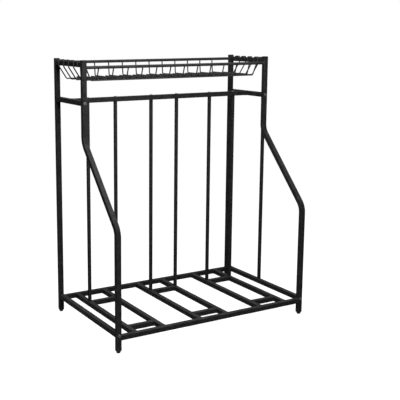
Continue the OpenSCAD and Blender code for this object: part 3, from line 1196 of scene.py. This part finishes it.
@dataclass
class Bolts:
    """Button-head bolts with hex sockets.

    Attributes:
        sizes: Driving sizes.
        head_r: Radius of the head.
        head_h: Height of the head.
        rim_h: Height of the head's upright rim.
        shank_r: Radius of the shank.
        shank_l: Length of the shank.
        socket: Distance from the axis to a flat of the socket.
        lip: Radius of the head's top edge, in those distances.
        columns: Points round the head.
    """

    sizes: Sizes = SIZES
    head_r: float = 0.0065
    head_h: float = 0.0026
    rim_h: float = 0.0008
    shank_r: float = 0.003
    shank_l: float = 0.006
    socket: float = 0.002
    lip: float = 1.32
    columns: int = 72

    def grid(self) -> np.ndarray:
        """Rings of one bolt along +Z with the seat of its head at 0.

        Each row is a radius r, a height and a share k of the hexagon. Its ring's radius is
        r * (1 + k * (1 / cos(b) - 1)), with b the angle from the middle of the nearest flat. The dome is a
        quarter of an ellipse: at the share u of the way in, it has risen sqrt(1 - (1 - u)^2) of the way up.

        Returns:
            Grid of rings, from the shank's end over the head into the socket.
        """
        h, r, a, rim = self.head_h, self.head_r, self.socket, self.rim_h
        shank = [(self.shank_r, -self.shank_l, 0.0), (self.shank_r, 0.0, 0.0)]
        edge = [(r - 0.0004, 0.0, 0.0), (r, 0.0003, 0.0), (r, rim, 0.0)]
        dome = [(r - (r - self.lip * a) * u, rim + (h - rim) * math.sqrt(max(0.0, 1 - (1 - u) ** 2)), 0.0)
                for u in np.linspace(0.0, 1.0, 9)[1:]]
        hollow = [(a * 1.04, h, 1.0), (a, h - 0.00012, 1.0), (a, h * 0.38, 1.0), (a * 0.5, h * 0.3, 0.5)]
        rows = np.array([*shank, *edge, *dome, *hollow])
        angle = ring(self.columns)[None, :]
        sixth = math.pi / 3
        flat_angle = (angle + sixth / 2) % sixth - sixth / 2
        radius = rows[:, 0:1] * (1 + rows[:, 2:3] * (1 / np.cos(flat_angle) - 1))
        height = rows[:, 1:2] * np.ones_like(angle)
        return np.stack([radius * np.cos(angle), radius * np.sin(angle), height], axis=-1)

    def place(self, shells: Shells, seat: Point, axis: np.ndarray) -> None:
        """Adds a bolt to a mesh.

        Args:
            shells: Mesh under way.
            seat: Middle of the head's seat.
            axis: Direction from the seat to the head.
        """
        first, second = plane_axes(axis)
        grid = self.grid()
        shells.add_grid(seat + grid[..., :1] * first + grid[..., 1:2] * second + grid[..., 2:] * axis)

    def build(self, palette: Palette) -> None:
        """Makes the bolts over the wheel bars and those through the posts.

        Args:
            palette: Materials.
        """
        s, shells = self.sizes, Shells()
        for x in s.lines:
            self.place(shells, (x, s.bar_y, s.side_bar_z + s.half), UP)
        shells.build("crossbar_bolts_turned", palette.bolt, Slot.BOLT, "crossbar_bolts")
        rows = (("side_bar_bolts", s.upper_y, s.side_bar_z), ("base_bolts", -s.leg_y, s.side_rail_z))
        for name, front_y, z in rows:
            shells = Shells()
            for side in SIDES:
                self.place(shells, (side * s.post_x, front_y - s.half, z), -ALONG_Y)
                self.place(shells, (side * s.post_x, s.leg_y + s.half, z), ALONG_Y)
            shells.build(f"{name}_turned", palette.bolt, Slot.BOLT, name)


# Studio


@dataclass(frozen=True)
class Lamp:
    """Square soft lamp.

    Attributes:
        name: Name of the lamp.
        place: Where it hangs.
        aim: Point that it faces.
        side: Side of its square.
        power: Power in watts.
    """

    name: str
    place: Point
    aim: Point
    side: float
    power: float

    def build(self) -> None:
        """Hangs the lamp and turns its face to its aim."""
        data = bpy.data.lights.new(self.name, "AREA")
        data.shape, data.size, data.energy = "SQUARE", self.side, self.power
        lamp = bpy.data.objects.new(self.name, data)
        x, y, z = np.array(self.place) - np.array(self.aim)
        lamp.location = self.place
        lamp.rotation_euler = (math.atan2(math.hypot(x, y), z), 0.0, math.atan2(x, -y))
        bpy.context.scene.collection.objects.link(lamp)


@dataclass
class Studio:
    """Camera, floor, world and lamps.

    Attributes:
        eye: Place of the camera.
        yaw: Turn of the camera to the right of +Y, in degrees.
        pitch: Downward tilt of the camera, in degrees.
        film: Width of the frame in millimetres.
        lens: Focal length in millimetres.
        shift: Shift of the frame, in widths.
        floor_size: Side of the floor.
        floor_white: Share of plain light in the floor as the camera and glossy rays see it.
        floor_glow: Strength of that light, set so that the open floor is as white as the room.
        paper: Whiteness of the floor under the lamps.
        room: Strength of the light from the room.
        lamps: The lamps: one in front of the left post, one high over the middle.
    """

    eye: Point = (-1.7166, -2.7280, 1.1642)
    yaw: float = 29.417
    pitch: float = 10.038
    film: float = 36.0
    lens: float = 73.06
    shift: tuple[float, float] = (0.1452, -0.0717)
    floor_size: float = 60.0
    floor_white: float = 0.7
    floor_glow: float = 1.41
    paper: float = 0.35
    room: float = 0.1
    lamps: tuple[Lamp, ...] = (
        Lamp("key", place=(-0.5, -1.15, 1.75), aim=(-0.3, 0.0, 0.85), side=0.7, power=124.0),
        Lamp("top", place=(0.0, 0.3, 3.0), aim=(0.0, 0.1, 0.5), side=1.6, power=40.0))

    def build_camera(self) -> None:
        """Places the camera at the photograph's viewpoint."""
        data = bpy.data.cameras.new("camera")
        data.lens, data.sensor_width = self.lens, self.film
        data.shift_x, data.shift_y = self.shift
        camera = bpy.data.objects.new("camera", data)
        camera.location = self.eye
        camera.rotation_euler = (math.radians(90 - self.pitch), 0.0, math.radians(-self.yaw))
        bpy.context.scene.collection.objects.link(camera)
        bpy.context.scene.camera = camera

    @staticmethod
    def seen(nodes: Nodes) -> bpy.types.NodeSocket:
        """1 for camera, glossy and transmission rays, else 0.

        Args:
            nodes: Helper of a material or world.

        Returns:
            The value's socket.
        """
        path = nodes.add("ShaderNodeLightPath").outputs
        glossy = nodes.maths("MAXIMUM", path["Is Glossy Ray"], path["Is Transmission Ray"])
        return nodes.maths("MAXIMUM", path["Is Camera Ray"], glossy)

    def build_floor(self) -> None:
        """Lays a pale floor that is almost white to the camera and still takes the rack's shadow."""
        half = self.floor_size / 2
        corners = [(-half, -half, 0), (half, -half, 0), (half, half, 0), (-half, half, 0)]
        mesh = bpy.data.meshes.new("floor")
        mesh.from_pydata(corners, [], [(0, 1, 2, 3)])
        material = bpy.data.materials.new("floor_paper")
        nodes = cleared(material)
        paper = nodes.add("ShaderNodeBsdfDiffuse", {"Color": (self.paper, self.paper, self.paper, 1.0)})
        white = nodes.add("ShaderNodeEmission", {"Color": (1.0, 1.0, 1.0, 1.0), "Strength": self.floor_glow})
        share = nodes.maths("MULTIPLY", self.seen(nodes), self.floor_white)
        mixed = nodes.add("ShaderNodeMixShader", {"0": share, "1": paper.outputs[0], "2": white.outputs[0]})
        nodes.add("ShaderNodeOutputMaterial", {"Surface": mixed.outputs[0]})
        mesh.materials.append(material)
        floor = bpy.data.objects.new("floor", mesh)
        bpy.context.scene.collection.objects.link(floor)

    def build_world(self) -> None:
        """Surrounds the rack with an even room that looks white."""
        world = bpy.data.worlds.new("room")
        bpy.context.scene.world = world
        nodes = cleared(world)
        extra = nodes.maths("MULTIPLY", self.seen(nodes), 1.0 - self.room)
        strength = nodes.maths("ADD", extra, self.room)
        sky = nodes.add("ShaderNodeBackground", {"Color": (1.0, 1.0, 1.0, 1.0), "Strength": strength})
        nodes.add("ShaderNodeOutputWorld", {"Surface": sky.outputs[0]})

    def build(self) -> None:
        """Sets up the whole studio."""
        self.build_camera()
        self.build_floor()
        self.build_world()
        for lamp in self.lamps:
            lamp.build()
        bpy.context.scene.view_settings.view_transform = "Standard"


def main() -> None:
    """Builds the rack's looks and the studio."""
    logging.basicConfig(level=logging.INFO, format="%(name)s: %(message)s")
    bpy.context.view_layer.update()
    Studio().build()
    palette = Palette.make()
    for frame_part in (SideFrames(), CrossFrame(), WheelSlots()):
        frame_part.dress(palette)
        frame_part.build_welds(palette)
    Basket().build(palette)
    Plastics().build(palette)
    Bolts().build(palette)


if __name__ == "__main__":
    main()
